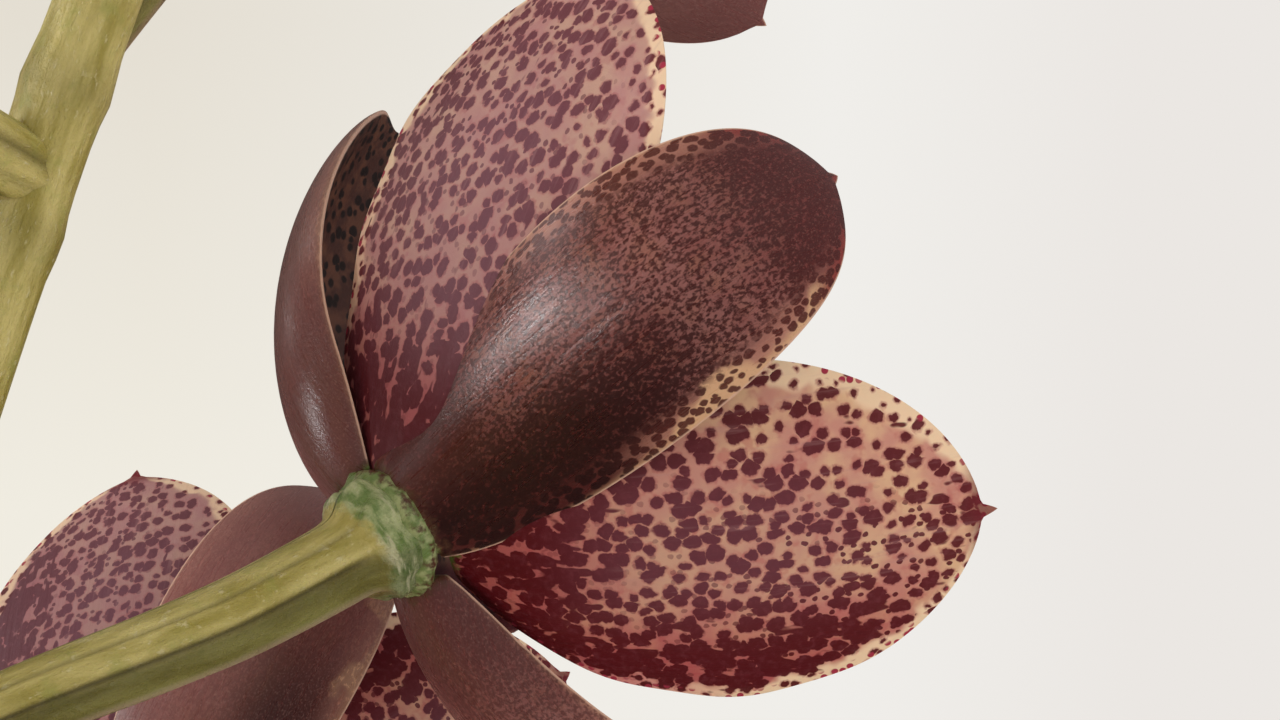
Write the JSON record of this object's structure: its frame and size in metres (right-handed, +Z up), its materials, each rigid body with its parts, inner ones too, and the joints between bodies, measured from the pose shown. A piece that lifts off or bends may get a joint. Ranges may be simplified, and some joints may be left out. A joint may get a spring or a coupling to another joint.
{
  "type": "potted orchid",
  "caption": "Flowering orchid in a plain clay pot of bark, with upright bulbs, long pleated leaves and an arching stem of dark, spotted, cupped blooms; stands on a table or shelf.",
  "frame": {"origin": "centre of the pot's flat underside", "axes": "+Z up out of the pot, +X to the side where the flower stem leans, +Y away from the main view"},
  "size_m": [0.2171, 0.3363, 0.4088],
  "materials": {
    "clay": "matt unglazed terracotta, faintly mottled with pale salts",
    "bark": "rough red-brown bark chips",
    "bulb_green": "smooth, slightly waxy, with dry papery sheaths",
    "root_white": "matt spongy white with green tips",
    "leaf_green": "satin green, pleated along the veins",
    "stem_green": "waxy olive green, grooved lengthways",
    "tepal_maroon": "waxy, fleshy, dark maroon-brown speckles and spots on pink and cream, with a soft grey sheen",
    "lip_maroon": "waxy dark crimson with a paler spotted edge",
    "column_cream": "waxy cream, flushed and dotted maroon",
    "bud_brown": "waxy green-brown flushed maroon"
  },
  "bodies": {
    "root": {"pot": "clay", "bark": "bark", "pseudobulbs": "bulb_green", "root_1": "root_white", "root_2": "root_white", "root_3": "root_white", "leaf_1": "leaf_green", "leaf_2": "leaf_green", "leaf_3": "leaf_green", "leaf_4": "leaf_green", "leaf_5": "leaf_green", "leaf_6": "leaf_green", "flower_stem": "stem_green", "bloom_1_tepals": "tepal_maroon", "bloom_1_lip": "lip_maroon", "bloom_1_column": "column_cream", "bloom_2_tepals": "tepal_maroon", "bloom_2_lip": "lip_maroon", "bloom_2_column": "column_cream", "bloom_3_tepals": "tepal_maroon", "bloom_3_lip": "lip_maroon", "bloom_3_column": "column_cream", "bloom_4_tepals": "tepal_maroon", "bloom_4_lip": "lip_maroon", "bloom_4_column": "column_cream", "bloom_5_tepals": "tepal_maroon", "bloom_5_lip": "lip_maroon", "bloom_5_column": "column_cream", "bloom_6_tepals": "tepal_maroon", "bloom_6_lip": "lip_maroon", "bloom_6_column": "column_cream", "bloom_7_tepals": "tepal_maroon", "bloom_7_lip": "lip_maroon", "bloom_7_column": "column_cream", "bloom_8_tepals": "tepal_maroon", "bloom_8_lip": "lip_maroon", "bloom_8_column": "column_cream", "bloom_9_tepals": "tepal_maroon", "bloom_9_lip": "lip_maroon", "bloom_9_column": "column_cream", "bloom_10_tepals": "tepal_maroon", "bloom_10_lip": "lip_maroon", "bloom_10_column": "column_cream", "bud_1": "bud_brown", "bud_2": "bud_brown", "bud_3": "bud_brown"}
  },
  "joints": []
}
